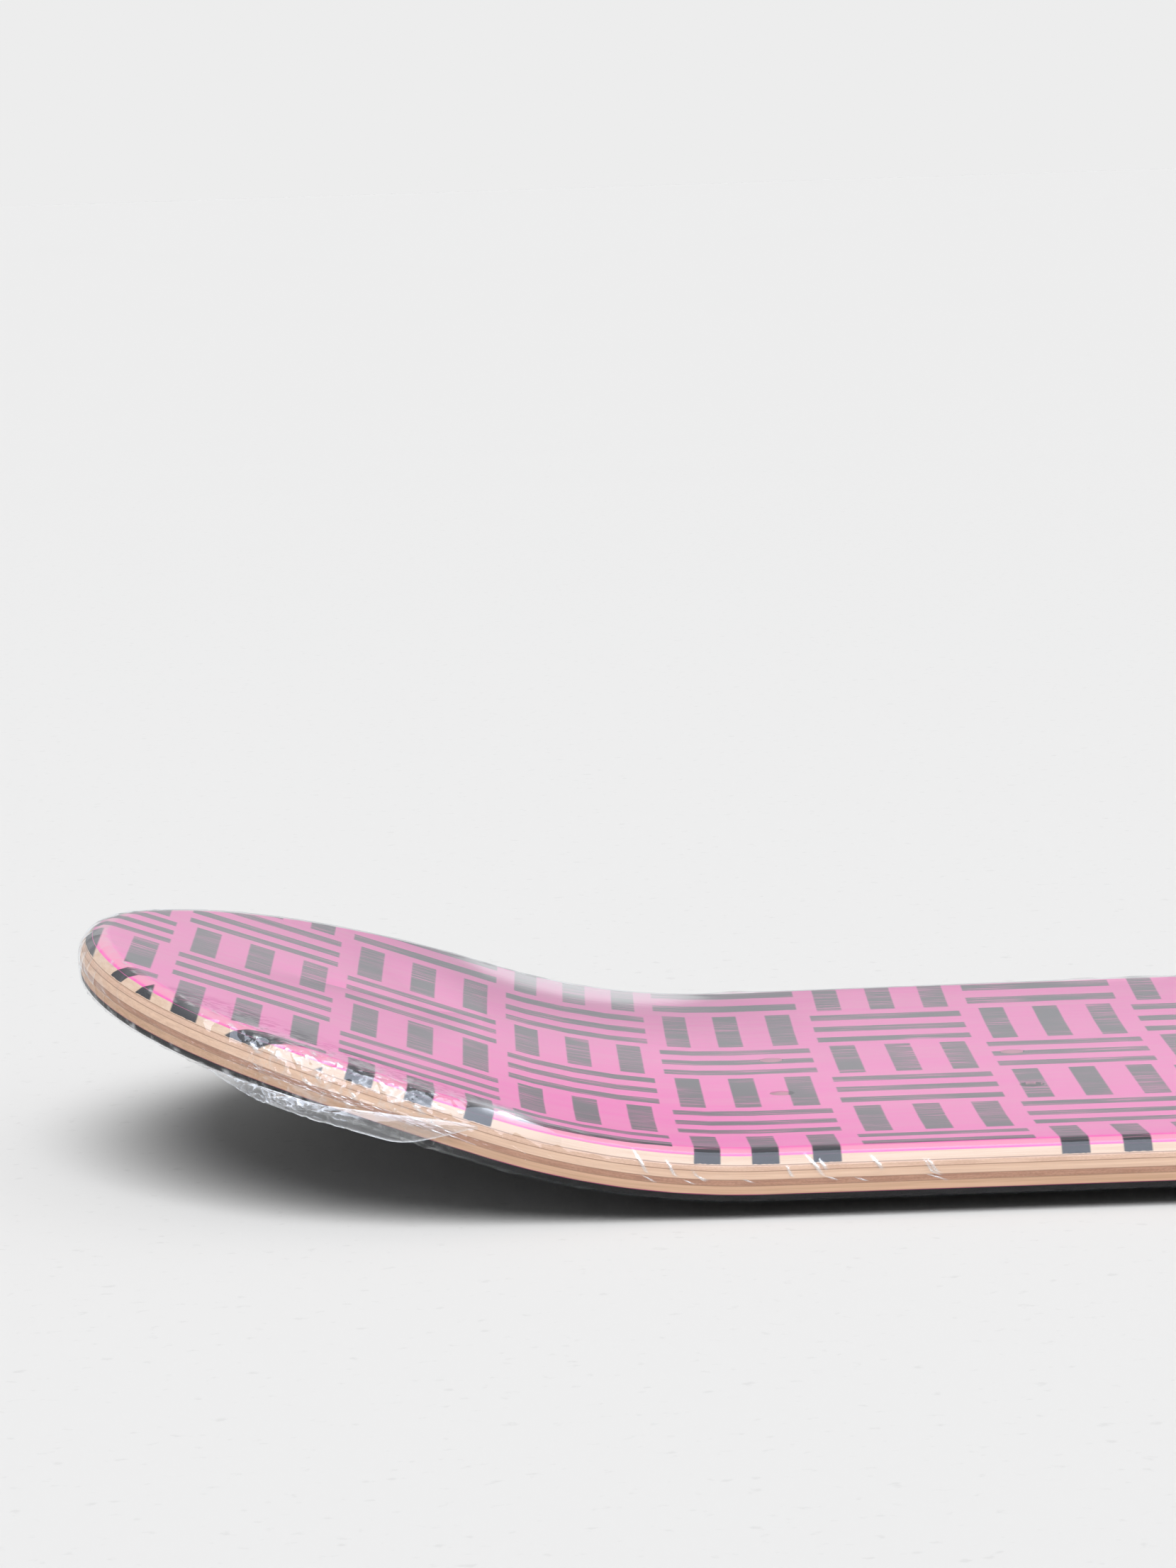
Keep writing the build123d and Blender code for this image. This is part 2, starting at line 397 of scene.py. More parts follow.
WHITE = (1.0, 1.0, 1.0, 1.0)
NOISE_MEAN = 0.5
NOISE_DETAIL = 2.0
FINE_DETAIL = 3.0


def srgb(red, green, blue):
    """A colour from its display values, 0 to 255."""
    values = []
    for value in (red, green, blue):
        value /= 255
        values.append(value / 12.92 if value <= 0.04045 else ((value + 0.055) / 1.055) ** 2.4)
    return (*values, 1.0)


class Graph:
    """Adds nodes to a tree; an input is a socket to link or a value to set."""

    def __init__(self, tree):
        self.tree = tree

    def add(self, kind, inputs, **settings):
        """One node of a kind; settings are its own properties."""
        node = self.tree.nodes.new(kind)
        for key, value in settings.items():
            setattr(node, key, value)
        for key, value in inputs.items():
            if isinstance(value, bpy.types.NodeSocket):
                self.tree.links.new(value, node.inputs[key])
            else:
                node.inputs[key].default_value = value
        return node

    def math(self, operation, *values):
        """Result of a math node on one, two or three values."""
        return self.add("ShaderNodeMath", dict(enumerate(values)), operation=operation).outputs[0]

    def ramp(self, value, low, high):
        """Smooth step from 0 at low to 1 at high."""
        inputs = {"Value": value, "From Min": low, "From Max": high}
        return self.add("ShaderNodeMapRange", inputs, interpolation_type="SMOOTHSTEP").outputs[0]

    def blend(self, factor, a, b):
        """Mix of two colours."""
        inputs = {0: factor, 6: a, 7: b}
        return self.add("ShaderNodeMix", inputs, data_type="RGBA").outputs[2]

    def choose(self, factor, a, b):
        """Mix of two values."""
        return self.add("ShaderNodeMix", {0: factor, 2: a, 3: b}).outputs[0]

    def vector(self, x, y, z):
        """A vector from its three values."""
        return self.add("ShaderNodeCombineXYZ", {0: x, 1: y, 2: z}).outputs[0]

    def scale(self, vector, factor):
        """A vector times a number."""
        inputs = {0: vector, "Scale": factor}
        return self.add("ShaderNodeVectorMath", inputs, operation="SCALE").outputs[0]

    def noise(self, vector, detail):
        """Smooth noise from about 0 to 1, with a wave of about one unit."""
        inputs = {"Vector": vector, "Scale": 1.0, "Detail": detail}
        return self.add("ShaderNodeTexNoise", inputs).outputs["Fac"]

    def stretched(self, place, scales, detail=NOISE_DETAIL):
        """Noise with its own scale along the deck, across it and through it."""
        scaled = [self.math("MULTIPLY", p, s) for p, s in zip(place, scales)]
        return self.noise(self.vector(*scaled), detail)


def deck_coordinates():
    """Node group: millimetres along the pressed deck, across it and up from its belly face."""
    tree = bpy.data.node_groups.new("deck coordinates", "ShaderNodeTree")
    for name in ("Along", "Across", "Height"):
        tree.interface.new_socket(name, in_out="OUTPUT", socket_type="NodeSocketFloat")
    g = Graph(tree)
    place = g.add("ShaderNodeTexCoord", {}).outputs["Object"]
    x, y, z = g.add("ShaderNodeSeparateXYZ", {0: g.scale(place, 1 / MM)}).outputs
    nose_half = g.math("GREATER_THAN", x, 0.0)
    tail_run = g.math("SUBTRACT", TAIL_BEND_X, x)
    nose_run = g.math("SUBTRACT", x, NOSE_BEND_X)
    run = g.choose(nose_half, tail_run, nose_run)
    drop = g.math("SUBTRACT", BEND_AXIS_Z, z)
    turn = g.math("MINIMUM", g.math("MAXIMUM", g.math("ARCTAN2", run, drop), 0.0), KICK)
    turn_sin = g.math("SINE", turn)
    turn_cos = g.math("COSINE", turn)
    radius = g.math("ADD", g.math("MULTIPLY", run, turn_sin), g.math("MULTIPLY", drop, turn_cos))
    slope = g.math("MAXIMUM", g.math("SUBTRACT", g.math("ABSOLUTE", y), FLAT_HALF), 0.0)
    rise = g.math("DIVIDE", g.math("MULTIPLY", slope, slope), 2 * CONCAVE_RADIUS)
    height = g.math("SUBTRACT", g.math("SUBTRACT", BEND_RADIUS, radius), rise)
    ahead = g.math("MULTIPLY", run, turn_cos)
    beyond = g.math("SUBTRACT", ahead, g.math("MULTIPLY", drop, turn_sin))
    reach = g.math("MULTIPLY_ADD", turn, BEND_RADIUS, beyond)
    tail_along = g.math("SUBTRACT", TAIL_BEND_X, reach)
    nose_along = g.math("ADD", NOSE_BEND_X, reach)
    along = g.choose(nose_half, tail_along, nose_along)
    out = g.add("NodeGroupOutput", {"Along": along, "Across": y, "Height": height})
    out.is_active_output = True
    return tree


DECK_COORDINATES = deck_coordinates()

# Print: a basketweave of bars
CELL = 37.5                 # of the weave
BARS = 3                    # in a cell
BAR_SHARE = 0.46            # of the pitch of the bars
BAR_END = 0.035             # of a cell, bare at the ends of a bar
PRINT_SHIFT = 9.0           # along the deck
INK_EDGE = 0.25             # softness of the print's edge
PRINT_FOOT = 7.45           # height on the rails where the print ends
FOOT_RAGGED = 0.5           # raggedness of that edge
FOOT_SOFT = 0.12            # and its softness
INK_LOST = 0.8              # share of the ink that is gone where it is worn
WEAR_TONES = (0.52, 0.64)   # of noise, between which a streak of wear sets in
PATCH_TONES = (0.36, 0.54)  # and a patch of such streaks
WEAR_DEPTHS = (0.7, 0.1)    # below the top face, between which it sets in

# Scales of grain, wear and crinkles along the deck, across it and through it, per millimetre
LONG_STREAK = (0.018, 0.35, 1.6)
LONG_FIBRE = (0.09, 2.4, 7.0)
CROSS_STREAK = (0.12, 0.03, 2.6)
CROSS_FIBRE = (1.6, 0.1, 6.0)
STAIN_STREAK = (0.02, 0.9, 0.6)
STAIN_CLOUD = (0.012, 0.08, 0.0)
WEAR_STREAK = (0.05, 2.2, 0.0)
WEAR_PATCH = (0.03, 0.05, 0.0)
FOOT_WAVE = (1.1, 0.0, 0.0)
CRINKLE = (0.3, 0.3, 0.3)

FIBRE_SHARE = 0.45          # of the fine grain in a veneer's tone
GRAIN_TONES = (0.36, 0.64)  # of noise, between a veneer's dark tone and its light one
GRAIN_DEPTH = 0.2           # of its bump
RUB_START = -0.35           # below the top face, where the stain is rubbed on a rail's rounding
RUB_FULL = 0.3
RUB_RAGGED = 1.6
RUB_SKIN = (0.02, 0.15)     # the stain is whole on the top face itself
RUB_END = (1.3, 0.9)        # and whole again towards the glue line
RUB_SHARE = 0.75
CLOUD_SHARE = 0.28          # of the paler stain over the top face
CLOUD_TONES = (0.35, 0.7)   # of noise, between which it sets in
CLOUD_STREAKS = 0.5         # share of the streaks in that noise
GLUE_FADE = 0.16
STAIN_LINE = 0.1            # of the stain at the glue lines
WOOD_SHINE = 0.2            # specular level

# Roughness of a finish, and strength of the grain's bump in it
PRINTED_FINISH = (0.42, 0.15)
PALE_FINISH = (0.5, 0.2)
BARE_FINISH = (0.55, 0.25)
BELLY_FINISH = (0.4, 0.2)

# Colours; of a pair, the first is the light tone of the grain
PINK = srgb(252, 90, 189)
PINK_WORN = srgb(240, 172, 192)
INK = srgb(33, 35, 42)
PALE = (srgb(227, 202, 182), srgb(216, 186, 162))
TAN = (srgb(226, 193, 171), srgb(208, 172, 149))
MAPLE = (srgb(236, 203, 178), srgb(222, 187, 162))
# The lower veneers are set darker than the upper ones: partly their own tone, partly painted shade
# on the lower part of the rails
LOWER_CROSSBAND_TONES_AND_SHADE = (srgb(194, 149, 124), srgb(168, 123, 100))
LOWER_CORE_TONES_AND_SHADE = (srgb(218, 180, 152), srgb(200, 162, 134))
BLACK = (srgb(18, 18, 20), srgb(9, 9, 11))
THREAD = srgb(170, 60, 112)
GLUE = srgb(168, 130, 108)


def material(name):
    """An empty material and the graph of its nodes."""
    made = bpy.data.materials.new(name)
    made.use_nodes = True
    made.node_tree.nodes.clear()
    return made, Graph(made.node_tree)


def finish_surface(g, colour, grain, roughness, strength):
    """Principled wood, with its grain as a bump."""
    bump = {"Height": grain, "Strength": strength, "Distance": GRAIN_DEPTH * MM}
    inputs = {
        "Base Color": colour,
        "Roughness": roughness,
        "Normal": g.add("ShaderNodeBump", bump).outputs[0],
        "Specular IOR Level": WOOD_SHINE,
    }
    shader = g.add("ShaderNodeBsdfPrincipled", inputs)
    g.add("ShaderNodeOutputMaterial", {"Surface": shader.outputs[0]})


def deck_place(g):
    """Where a shaded point lies: along the deck, across it and up from its belly face."""
    group = g.add("ShaderNodeGroup", {}, node_tree=DECK_COORDINATES)
    return group.outputs["Along"], group.outputs["Across"], group.outputs["Height"]


def wood(g, place, tones, crossed=False):
    """Colour of bare veneer and its grain."""
    streak = g.stretched(place, CROSS_STREAK if crossed else LONG_STREAK)
    fibre = g.stretched(place, CROSS_FIBRE if crossed else LONG_FIBRE)
    grain = g.choose(FIBRE_SHARE, streak, fibre)
    light, dark = tones
    return g.blend(g.ramp(grain, *GRAIN_TONES), dark, light), grain


def glued(g, colour, height, low, high):
    """Darkens a veneer's edge along its glue lines."""
    inside = g.math("MINIMUM", g.math("SUBTRACT", height, low), g.math("SUBTRACT", high, height))
    return g.blend(g.ramp(inside, GLUE_FADE, 0.0), colour, GLUE)


def band(g, value, share, softness):
    """1 in the middle share of a unit interval."""
    off = g.math("ABSOLUTE", g.math("SUBTRACT", value, 0.5))
    return g.ramp(off, share / 2 + softness, share / 2 - softness)


def weave_ink(g, place):
    """Where the bars of the print lie, worn thin along the grain."""
    along, across, height = place
    cells = [g.math("DIVIDE", value, CELL) for value in (g.math("ADD", along, PRINT_SHIFT), across)]
    floors = [g.math("FLOOR", cell) for cell in cells]
    parity = g.math("FLOORED_MODULO", g.math("ADD", *floors), 2.0)
    u, v = (g.math("FRACT", cell) for cell in cells)
    over = g.math("MULTIPLY", g.choose(parity, u, v), float(BARS))
    down = g.choose(parity, v, u)
    bars = band(g, g.math("FRACT", over), BAR_SHARE, INK_EDGE * BARS / CELL)
    ends = band(g, down, 1.0 - 2 * BAR_END, INK_EDGE / CELL)
    streak = g.ramp(g.stretched(place, WEAR_STREAK, FINE_DETAIL), *WEAR_TONES)
    patch = g.ramp(g.stretched(place, WEAR_PATCH), *PATCH_TONES)
    on_top = g.ramp(height, *(DECK_THICKNESS - depth for depth in WEAR_DEPTHS))
    bare = g.math("MULTIPLY", g.math("MULTIPLY", streak, patch), on_top)
    kept = g.math("SUBTRACT", 1.0, g.math("MULTIPLY", bare, INK_LOST))
    return g.math("MULTIPLY", g.math("MULTIPLY", bars, ends), kept)


def printed_material(low):
    """The top veneer: stained pink, printed black, rubbed pale where it rounds over the rails."""
    made, g = material("printed pink veneer")
    place = deck_place(g)
    height = place[2]
    streak = g.stretched(place, STAIN_STREAK, FINE_DETAIL)
    cloud = g.stretched(place, STAIN_CLOUD)
    drop = g.math("SUBTRACT", DECK_THICKNESS, height)
    ragged = g.math("MULTIPLY_ADD", g.math("SUBTRACT", streak, NOISE_MEAN), RUB_RAGGED, drop)
    rubbed = g.math("MULTIPLY", g.ramp(ragged, RUB_START, RUB_FULL), g.ramp(drop, *RUB_END))
    rubbed = g.math("MULTIPLY", rubbed, g.ramp(drop, *RUB_SKIN))
    tone = g.ramp(g.choose(CLOUD_STREAKS, cloud, streak), *CLOUD_TONES)
    stained = g.blend(g.math("MULTIPLY", tone, CLOUD_SHARE), PINK, PINK_WORN)
    stained = g.blend(g.math("MULTIPLY", rubbed, RUB_SHARE), stained, PINK_WORN)
    colour = g.blend(weave_ink(g, place), stained, INK)
    colour = g.blend(g.ramp(g.math("SUBTRACT", height, low), STAIN_LINE, 0.0), colour, PINK)
    finish_surface(g, colour, streak, *PRINTED_FINISH)
    return made


def pale_material(low, high):
    """The veneer under the printed one, with the ends of the print on its rounded edge."""
    made, g = material("pale veneer")
    place = deck_place(g)
    height = place[2]
    colour, grain = wood(g, place, PALE)
    colour = glued(g, colour, height, low, high + GLUE_FADE)
    wave = g.math("SUBTRACT", g.stretched(place, FOOT_WAVE, FINE_DETAIL), NOISE_MEAN)
    foot = g.math("MULTIPLY_ADD", wave, FOOT_RAGGED, PRINT_FOOT)
    reach = g.ramp(g.math("SUBTRACT", height, foot), 0.0, FOOT_SOFT)
    colour = g.blend(g.math("MULTIPLY", weave_ink(g, place), reach), colour, INK)
    finish_surface(g, colour, grain, *PALE_FINISH)
    return made


def bare_material(name, tones, crossed, low, high):
    """A veneer inside the deck, bare of print, which shows along the rails."""
    made, g = material(name)
    place = deck_place(g)
    colour, grain = wood(g, place, tones, crossed)
    colour = glued(g, colour, place[2], low, high)
    finish_surface(g, colour, grain, *BARE_FINISH)
    return made


def belly_material(high):
    """Black-stained belly veneer, with a thread of pink at its glue line."""
    made, g = material("black veneer")
    place = deck_place(g)
    colour, grain = wood(g, place, BLACK)
    colour = g.blend(g.ramp(place[2], high - STAIN_LINE, high), colour, THREAD)
    finish_surface(g, colour, grain, *BELLY_FINISH)
    return made


# Film
FILM_ROUGHNESS = 0.05
EAR_ROUGHNESS = 0.08
FOLD_ROUGHNESS = 0.12
FILM_MIRROR = 0.05          # share that the film mirrors when seen square on
TIGHT_MIRROR = 0.015        # where it lies tight under the belly
HAZE_POWER = 7.5            # how it mirrors more, the flatter it is seen
FILM_HAZE = 1.4             # share of that
TIGHT_HAZE = 0.5
FOLD_MIRROR = 0.6           # share that the folds with painted highlight mirror
FILM_TINT = srgb(247, 249, 252)
CRINKLE_MIRROR = 0.03       # more, where it is crumpled and doubled
CRINKLE_DEPTH = 0.7         # of the fine crinkles
CRINKLE_DETAIL = 1.0
CRINKLE_REST = 0.01         # share of them away from the crumpled shoulder of the tail

# Places between which the crinkles set in: along the deck from its tip and from its middle,
# across it from the middle line, and down from above the top face
CRINKLE_LEFT = (-396.0, -372.0)
CRINKLE_RIGHT = (-296.0, -318.0)
CRINKLE_IN = (-52.0, -68.0)
CRINKLE_TOP = (12.2, 10.6)


def film_material(name, roughness, facing_mirror, haze, veil=0.0, crumpled=False):
    """Clear film: it mirrors the more the flatter it is seen; veil is its whitish share. Along its
    folds a point attribute mixes in a painted highlight and whitening.
    """
    made, g = material(name)
    place = deck_place(g)
    along, across, height = place
    if crumpled:
        zone = 1.0
    else:
        zone = g.math("MULTIPLY", g.ramp(along, *CRINKLE_LEFT), g.ramp(along, *CRINKLE_RIGHT))
        zone = g.math("MULTIPLY", zone, g.ramp(across, *CRINKLE_IN))
        zone = g.math("MULTIPLY", zone, g.ramp(height, *CRINKLE_TOP))
        zone = g.math("MULTIPLY_ADD", zone, 1 - CRINKLE_REST, CRINKLE_REST)
    crinkles = g.math("MULTIPLY", g.stretched(place, CRINKLE, CRINKLE_DETAIL), zone)
    inputs = {"Height": crinkles, "Strength": 1.0, "Distance": CRINKLE_DEPTH * MM}
    normal = g.add("ShaderNodeBump", inputs).outputs[0]
    slant = g.add("ShaderNodeLayerWeight", {}).outputs["Facing"]
    square_on = g.math("MULTIPLY_ADD", zone, CRINKLE_MIRROR, facing_mirror)
    mirror = g.math("MULTIPLY_ADD", g.math("POWER", slant, HAZE_POWER), haze, square_on)
    inputs = {"Color": FILM_TINT, "Roughness": roughness, "Normal": normal}
    gloss = g.add("ShaderNodeBsdfGlossy", inputs)
    clear = g.add("ShaderNodeBsdfTransparent", {"Color": WHITE})
    sheet = g.add("ShaderNodeMixShader", {0: mirror, 1: clear.outputs[0], 2: gloss.outputs[0]})
    # Painted highlight: the point attribute mixes the film toward a bright, half-mirroring surface
    # along its folds
    whitening_and_glint = g.add("ShaderNodeAttribute", {}, attribute_name="whitening_and_glint").outputs["Fac"]
    inputs = {"Base Color": FILM_TINT, "Metallic": FOLD_MIRROR, "Roughness": FOLD_ROUGHNESS}
    glint_fold_shader = g.add("ShaderNodeBsdfPrincipled", inputs)
    inputs = {0: g.math("ADD", whitening_and_glint, veil), 1: sheet.outputs[0], 2: glint_fold_shader.outputs[0]}
    shader = g.add("ShaderNodeMixShader", inputs)
    g.add("ShaderNodeOutputMaterial", {"Surface": shader.outputs[0]})
    return made


# The deck's veneers

height = 0.0
spans = {}
for name, thickness in VENEERS:
    spans[name] = (height, height + thickness)
    height += thickness

BARE = [                    # name, tones, whether the grain runs across, slot
    ("lower_core_veneer", LOWER_CORE_TONES_AND_SHADE, False, "natural_veneer"),
    ("lower_crossband", LOWER_CROSSBAND_TONES_AND_SHADE, True, "brown_veneer"),
    ("centre_core_veneer", MAPLE, False, "natural_veneer"),
    ("upper_crossband", TAN, True, "brown_veneer"),
]
finishes = {
    "bottom_face_veneer": (belly_material(spans["bottom_face_veneer"][1]), "black_veneer"),
    "upper_core_veneer": (pale_material(*spans["upper_core_veneer"]), "natural_veneer"),
    "top_face_veneer": (printed_material(spans["top_face_veneer"][0]), "pink_veneer"),
}
for name, tones, crossed, slot in BARE:
    finishes[name] = (bare_material(name, tones, crossed, *spans[name]), slot)
for name, (finish, slot) in finishes.items():
    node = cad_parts[name]
    node.data.materials.clear()
    node.data.materials.append(finish)


# The film

rings, seam_ring = film_rings()
columns = len(rings[0])
halves = [
    ("shrink_film_top", "upper_film", rings[:seam_ring], FILM_MIRROR, FILM_HAZE),
    ("shrink_film_belly", "lower_film", rings[seam_ring - 1 :], TIGHT_MIRROR, TIGHT_HAZE),
]
for name, node, part, facing_mirror, haze in halves:
    rows = np.concatenate(part)
    faces = ring_faces(len(part), columns, True)
    finish = film_material(name, FILM_ROUGHNESS, facing_mirror, haze)
    film = mesh_piece(name, rows[:, :3], rows[:, 3], faces, finish)
    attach(film, "root")
    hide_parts(node)

# Loose ear of film on the shoulder of the tail: a crumpled flap that runs out into a smooth fold
EAR_START = -366.0
EAR_END = -310.0
EAR_PLACES = (0.0, 0.2, 0.42, 0.72, 0.87, 1.0)      # along the ear
EAR_TOPS = (0.4, 0.6, 1.0, 4.4, 6.2, 7.2)           # upper edge above the belly face
EAR_HEMS = (0.2, -2.4, -2.0, -1.2, 2.8, 7.0)        # lower edge
EAR_SMOOTHING = 16          # columns of the mesh to either side
EAR_CRUMPLED = 0.5          # share of its length that is crumpled
EAR_FADE = 0.3              # share of its length over which that fades
EAR_BULGE = 1.5             # of the fold out from the rail
EAR_TURN = 0.85             # share of a half wave in the bulge, before the power EAR_HANG
EAR_HANG = 0.8              # power, under 1 to draw the widest place up
EAR_ROWS = 28               # in a layer
# Outer or not, shift of the layer's crumples, its share of the bulge, least gap to the film
EAR_LAYERS = [
    (True, 0.0, 1.0, 0.2),
    (False, 2.0, 0.2, -0.1),
]
EAR_FOLDS = [               # reach out of the crumples, slant, length, breadth, seed
    (1.9, 1.5, 5.2, 2.0, 5.0),
    (1.0, -1.1, 2.4, 1.3, 9.0),
]
EAR_INWARD = 0.3            # share of that reach that goes in instead of out
EAR_SAG = 0.5               # how far a crumple also moves the hem, as a share
EAR_LINE = 0.32             # width of the painted highlight along the hem and top edge
# Painted highlight on the ear: along its hem and top edge, and with whitening on its crumples'
# crests
EAR_HEM_GLINT = 0.42
EAR_TOP_GLINT = 0.3
EAR_CREASE_WHITENING_AND_GLINT = 0.5
EAR_VEIL = 0.03


def smoothed(values):
    """A running mean along the ear."""
    spread = 2 * EAR_SMOOTHING + 1
    return np.convolve(np.pad(values, EAR_SMOOTHING, "edge"), np.ones(spread) / spread, "valid")


def film_ear(finish):
    """The ear's two layers in one sheet: down the outer one, round the hem and up the inner one."""
    loop = plan_loop()
    near = loop[(loop[:, 0] > EAR_START) & (loop[:, 0] < EAR_END) & (loop[:, 1] < 0)]
    x, y, out = near[:, 0], near[:, 1], near[:, 2:]
    along = np.cumsum(np.hypot(*np.diff(near[:, :2], axis=0, prepend=near[:1, :2]).T))
    share = (x - EAR_START) / (EAR_END - EAR_START)
    fullness = np.sqrt(np.sin(pi * share))
    crumple = window(share, -1.0, EAR_CRUMPLED, EAR_FADE) * fullness
    top = smoothed(np.interp(share, EAR_PLACES, EAR_TOPS))
    hem = smoothed(np.interp(share, EAR_PLACES, EAR_HEMS))
    size = top - hem
    rows = []
    for outer, shift, swell, gap in EAR_LAYERS:
        for t in np.linspace(0.0, 1.0, EAR_ROWS):
            down = t if outer else 1.0 - t
            way = size * down + shift * (1.0 - down)
            fold = np.zeros_like(x)
            # Painted highlight along the hem and the outer layer's top edge, and on the crumples'
            # crests
            whitening_and_glint = EAR_HEM_GLINT * np.exp(-((size * (1.0 - down) / EAR_LINE) ** 2))
            if outer:
                whitening_and_glint = np.maximum(whitening_and_glint, EAR_TOP_GLINT * np.exp(-((size * down / EAR_LINE) ** 2)))
            for reach, *folds in EAR_FOLDS:
                ridge = ridges(along, way, *folds)
                fold += reach * (ridge - EAR_INWARD)
                whitening_and_glint = np.maximum(whitening_and_glint, EAR_CREASE_WHITENING_AND_GLINT * crumple * ridge**LINE_POWER)
            fold *= crumple * down
            whitening_and_glint *= fullness
            bulge = EAR_BULGE * fullness * sin(pi * (EAR_TURN * down) ** EAR_HANG) * swell
            reach = FILM_GAP + np.maximum(gap, bulge + fold)
            level = wood_z(x, y, top - size * down) + EAR_SAG * fold
            rows.append(np.column_stack([near[:, :2] + out * reach[:, None], level, whitening_and_glint]))
    points = np.concatenate(rows)
    faces = ring_faces(len(rows), len(near), False)
    return mesh_piece("shrink_film_ear", points[:, :3], points[:, 3], faces, finish)


finish = film_material("shrink_film_ear", EAR_ROUGHNESS, FILM_MIRROR, FILM_HAZE, EAR_VEIL, True)
ear = film_ear(finish)
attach(ear, "root")
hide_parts("tail_film_ear")


# Stage, light and camera

FLOOR_SIZE = 40000.0
FLOOR = srgb(234, 234, 234)
FLOOR_ROUGHNESS = 0.9
FLOOR_SHINE = 0.1           # specular level
SPECK = srgb(150, 150, 150)
SPECK_SCALE = 0.26          # per millimetre
SPECK_TONES = (0.62, 0.75)  # of noise, between which a speck sets in
SPECK_SHARE = 0.12          # of its colour

# What the film mirrors, and what is seen behind the floor
HORIZON = srgb(237, 237, 237)
DIM_WALL = srgb(185, 185, 187)
UPPER_WALL = srgb(231, 231, 232)
DIM_FROM = (0.028, 0.06)    # sines of the elevations between which the wall turns dim
DIM_TO = (0.2, 0.08)        # and, from above, between which it does so too

# Light on the deck, and a panel that only the gloss mirrors
WORLD_LIGHT = 0.33
LAMP_TARGET = Vector((-300.0, -100.0, 30.0))
KEY_OFFSET = Vector((-150.0, -900.0, 1500.0))
KEY_POWER = 2.6
KEY_ANGLE = radians(50)
PANEL_OFFSET = Vector((0.0, -650.0, 1700.0))
PANEL_POWER = 66.0
PANEL_SIZE = 2700.0
PANEL_BLUE = (0.8, 0.86, 1.0)


def make_floor():
    """A plain pale floor with faint specks."""
    made, g = material("floor")
    place = g.add("ShaderNodeTexCoord", {}).outputs["Object"]
    speck = g.ramp(g.noise(g.scale(place, SPECK_SCALE / MM), FINE_DETAIL), *SPECK_TONES)
    inputs = {
        "Base Color": g.blend(g.math("MULTIPLY", speck, SPECK_SHARE), FLOOR, SPECK),
        "Roughness": FLOOR_ROUGHNESS,
        "Specular IOR Level": FLOOR_SHINE,
    }
    shader = g.add("ShaderNodeBsdfPrincipled", inputs)
    g.add("ShaderNodeOutputMaterial", {"Surface": shader.outputs[0]})
    bpy.ops.mesh.primitive_plane_add(size=FLOOR_SIZE * MM)
    floor = bpy.context.object
    floor.name = "floor"
    floor.data.materials.append(made)


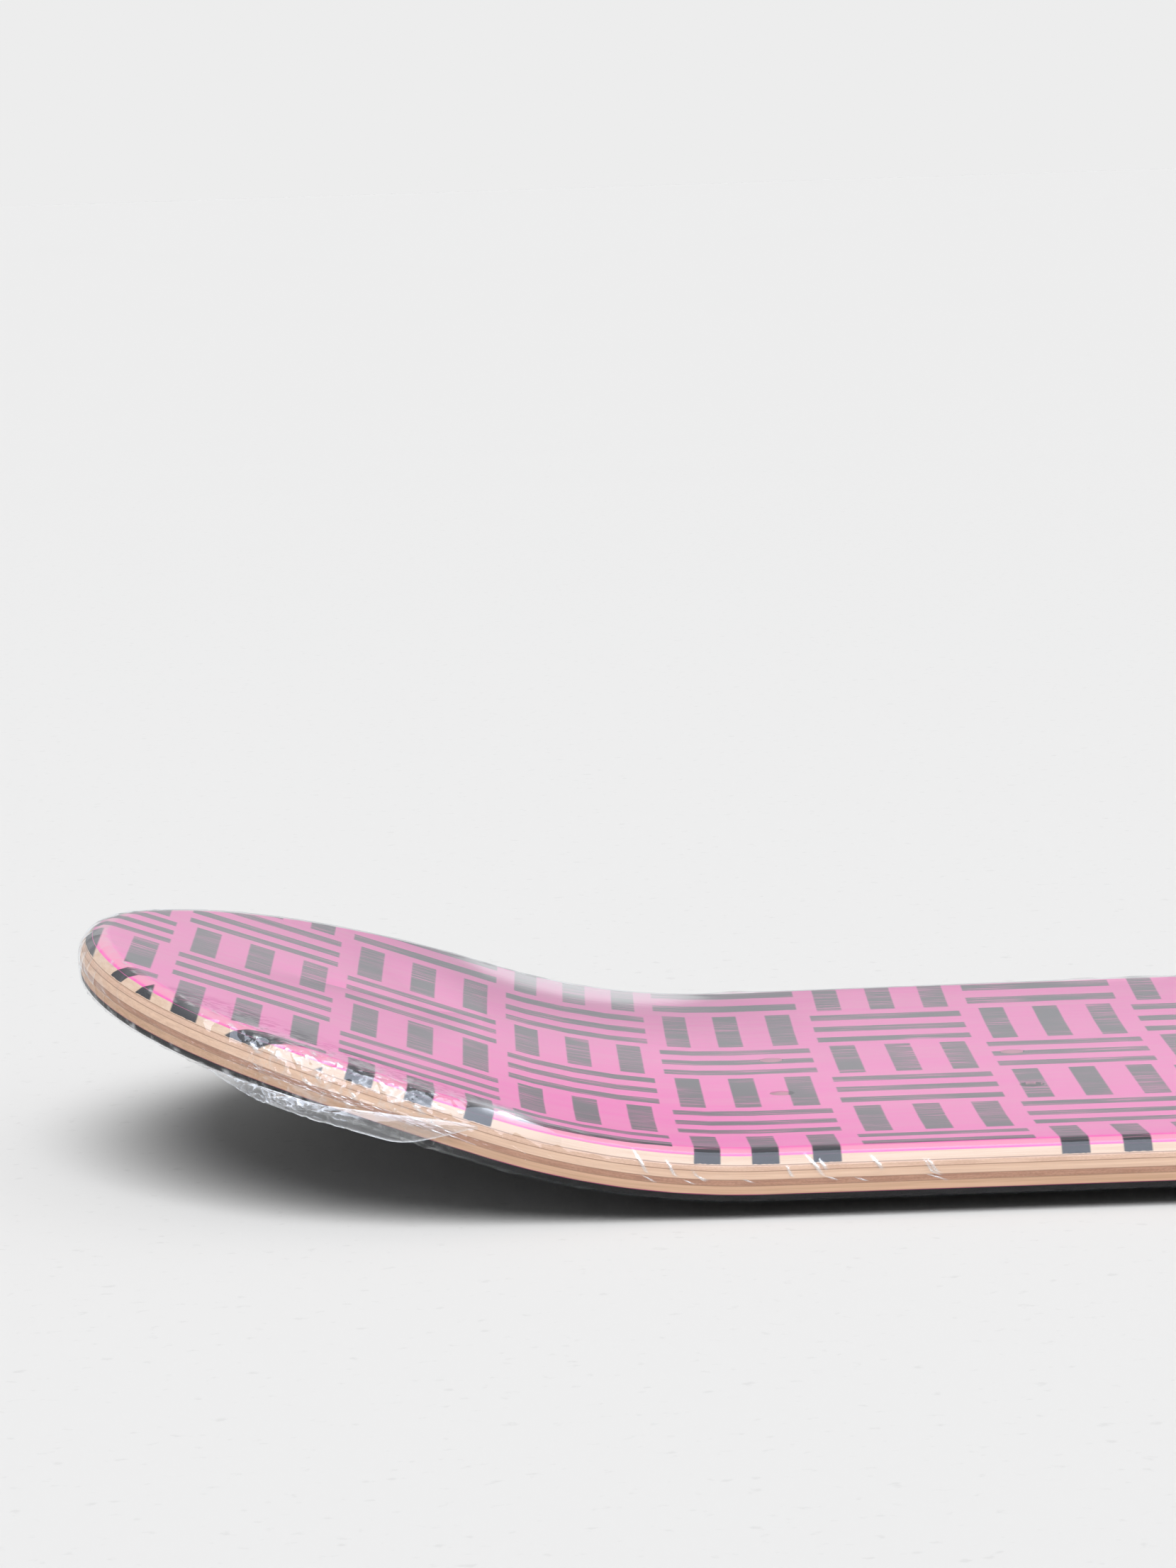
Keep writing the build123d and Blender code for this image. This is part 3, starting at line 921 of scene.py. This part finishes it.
def make_world():
    """Even light on the deck, and a pale wall with a dim band for what is seen or mirrored."""
    world = bpy.data.worlds.new("studio")
    bpy.context.scene.world = world
    world.use_nodes = True
    world.node_tree.nodes.clear()
    g = Graph(world.node_tree)
    toward = g.add("ShaderNodeTexCoord", {}).outputs["Generated"]
    rise = g.add("ShaderNodeSeparateXYZ", {0: toward}).outputs[2]
    wall = g.blend(g.ramp(rise, *DIM_TO), UPPER_WALL, DIM_WALL)
    backdrop = g.blend(g.ramp(rise, *DIM_FROM), HORIZON, wall)
    rays = g.add("ShaderNodeLightPath", {}).outputs
    mirrored = g.math("MAXIMUM", rays["Is Glossy Ray"], rays["Is Transmission Ray"])
    seen = g.math("MAXIMUM", rays["Is Camera Ray"], mirrored)
    light = g.add("ShaderNodeBackground", {"Color": WHITE, "Strength": WORLD_LIGHT})
    shown = g.add("ShaderNodeBackground", {"Color": backdrop, "Strength": 1.0})
    sky = g.add("ShaderNodeMixShader", {0: seen, 1: light.outputs[0], 2: shown.outputs[0]})
    g.add("ShaderNodeOutputWorld", {"Surface": sky.outputs[0]})


def make_lamp(name, kind, offset, power, mirrored, **settings):
    """A lamp aimed at the tail: either it lights the deck, or only the gloss mirrors it."""
    lamp = bpy.data.lights.new(name, kind)
    lamp.energy = power
    for key, value in settings.items():
        setattr(lamp, key, value)
    holder = bpy.data.objects.new(name, lamp)
    holder.location = (LAMP_TARGET + offset) * MM
    holder.rotation_euler = offset.to_track_quat("Z", "Y").to_euler()
    holder.visible_camera = False
    holder.visible_glossy = mirrored
    holder.visible_diffuse = not mirrored
    bpy.context.scene.collection.objects.link(holder)


# Camera
EYE = Vector((-306.6, -1149.0, 218.0))
PITCH = radians(6.99)       # down from level
YAW = radians(-1.13)        # anticlockwise from +Y, seen from above
ROLL = radians(1.85)        # clockwise, seen from behind the camera
LENS = 122.03               # focal length
SENSOR = 36.0               # long side


def make_camera():
    """The camera of the photograph, fitted to the outline of the deck."""
    right = Vector((cos(YAW), sin(YAW), 0.0))
    level = Vector((-sin(YAW), cos(YAW), 0.0))
    rise = Vector((0.0, 0.0, 1.0))
    forward = level * cos(PITCH) - rise * sin(PITCH)
    upright = level * sin(PITCH) + rise * cos(PITCH)
    camera_x = right * cos(ROLL) - upright * sin(ROLL)
    camera_y = right * sin(ROLL) + upright * cos(ROLL)
    camera = bpy.data.objects.new("camera", bpy.data.cameras.new("camera"))
    turn = Matrix((camera_x, camera_y, -forward)).transposed()
    camera.matrix_world = Matrix.Translation(EYE * MM) @ turn.to_4x4()
    camera.data.lens = LENS
    camera.data.sensor_width = SENSOR
    bpy.context.scene.collection.objects.link(camera)
    bpy.context.scene.camera = camera


make_floor()
make_world()
make_lamp("key", "SUN", KEY_OFFSET, KEY_POWER, False, angle=KEY_ANGLE)
panel = {"shape": "SQUARE", "size": PANEL_SIZE * MM, "color": PANEL_BLUE}
make_lamp("panel", "AREA", PANEL_OFFSET, PANEL_POWER, True, **panel)
make_camera()
bpy.context.scene.view_settings.view_transform = "Standard"
